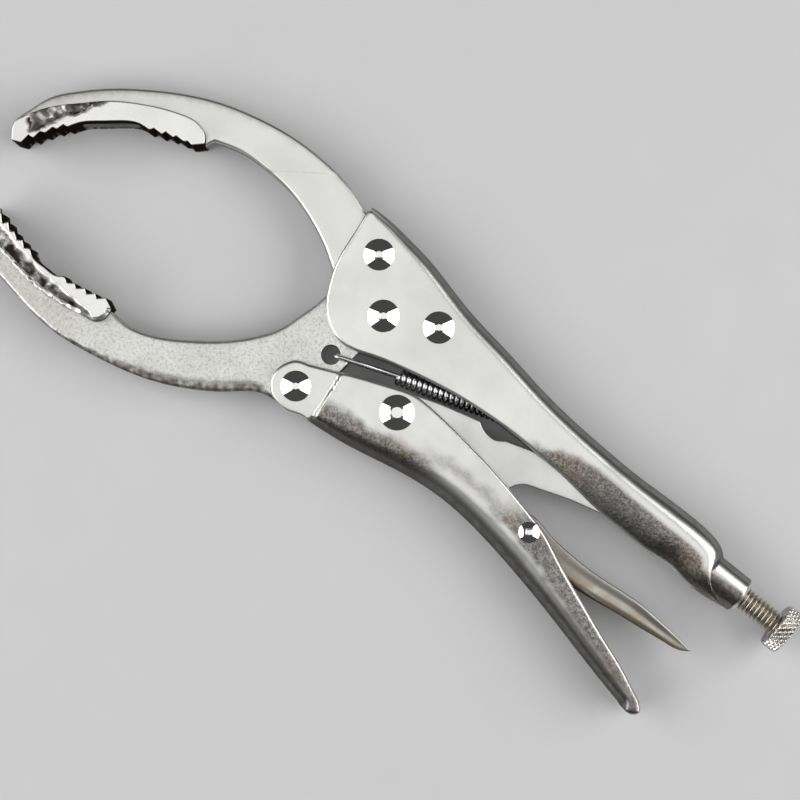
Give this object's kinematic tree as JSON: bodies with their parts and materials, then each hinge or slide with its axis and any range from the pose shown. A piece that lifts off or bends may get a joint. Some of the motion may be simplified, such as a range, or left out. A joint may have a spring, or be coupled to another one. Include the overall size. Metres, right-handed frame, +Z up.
{
  "type": "locking pliers",
  "caption": "Locking pliers with wide curved toothed jaws for gripping large round work such as screw-on filters, with toggle lock, release lever and adjusting screw.",
  "frame": {"origin": "centre of the bounding box in plan, at the height of the surface the tool lies on", "axes": "+X along the adjusting screw towards its knob, +Y towards the back of the fixed handle, +Z up through the thickness of the tool as it lies flat"},
  "size_m": [0.2398, 0.0786, 0.016],
  "materials": {
    "plated_sheet": "nickel plated, satin with a fine ripple on the bends",
    "forged_jaw": "nickel plated, smooth satin",
    "forged_jaw_grain": "nickel plated over a grainy forged face",
    "toothed_steel": "nickel plated, mottled in the hollows",
    "link_steel": "nickel plated, sheared edges",
    "rivet": "polished",
    "screw_thread": "zinc plated, slightly yellow",
    "knurled_knob": "nickel plated, diamond knurl",
    "spring_wire": "bright drawn wire"
  },
  "bodies": {
    "fixed_handle": {"fixed_handle": "plated_sheet", "upper_jaw": "forged_jaw", "upper_jaw_shoe": "toothed_steel", "fixed_jaw_front_rivet": "rivet", "fixed_jaw_rear_rivet": "rivet", "jaw_pivot_rivet": "rivet", "tension_spring": "spring_wire"},
    "lower_jaw": {"lower_jaw": "forged_jaw_grain", "lower_jaw_shoe": "toothed_steel"},
    "lever": {"lever_handle": "plated_sheet", "lever_pivot_rivet": "rivet", "link_pivot_rivet": "rivet", "release_pivot_rivet": "rivet"},
    "toggle_link": {"toggle_link": "link_steel"},
    "release_lever": {"release_lever": "plated_sheet"},
    "adjusting_screw": {"adjusting_screw": "screw_thread"},
    "screw_knob": {"screw_knob": "knurled_knob"}
  },
  "joints": [
    {"name": "jaw_pivot", "type": "hinge", "parent": "fixed_handle", "child": "lower_jaw", "pos_m": [-0.01381, 0.0171, 0.008], "axis": [0, 0, 1], "range_deg": [0, 18], "deforming": ["tension_spring"]},
    {"name": "lever_pivot", "type": "hinge", "parent": "lower_jaw", "child": "lever", "pos_m": [-0.02011, -0.01114, 0.008], "axis": [0, 0, 1], "range_deg": [-62, 0]},
    {"name": "link_pivot", "type": "hinge", "parent": "lever", "child": "toggle_link", "pos_m": [0.00451, -0.00018, 0.008], "axis": [0, 0, 1], "range_deg": [0, 64]},
    {"name": "release_pivot", "type": "hinge", "parent": "lever", "child": "release_lever", "pos_m": [0.05034, -0.00294, 0.008], "axis": [0, 0, 1], "range_deg": [-10, 0]},
    {"name": "screw_travel", "type": "slide", "parent": "fixed_handle", "child": "adjusting_screw", "axis": [1, 0, 0], "range_m": [0, 0.00762]},
    {"name": "knob_turn", "type": "hinge", "parent": "adjusting_screw", "child": "screw_knob", "pos_m": [0.11653, 0.0186, 0.008], "axis": [1, 0, 0], "range_deg": [0, 2160.1]}
  ],
  "couplings": [
    {"joint": "jaw_pivot", "follows": "lever_pivot", "ratio": -0.29032},
    {"joint": "link_pivot", "follows": "lever_pivot", "ratio": -1.0323},
    {"joint": "knob_turn", "follows": "screw_travel", "rad_per_m": 4947.4}
  ]
}
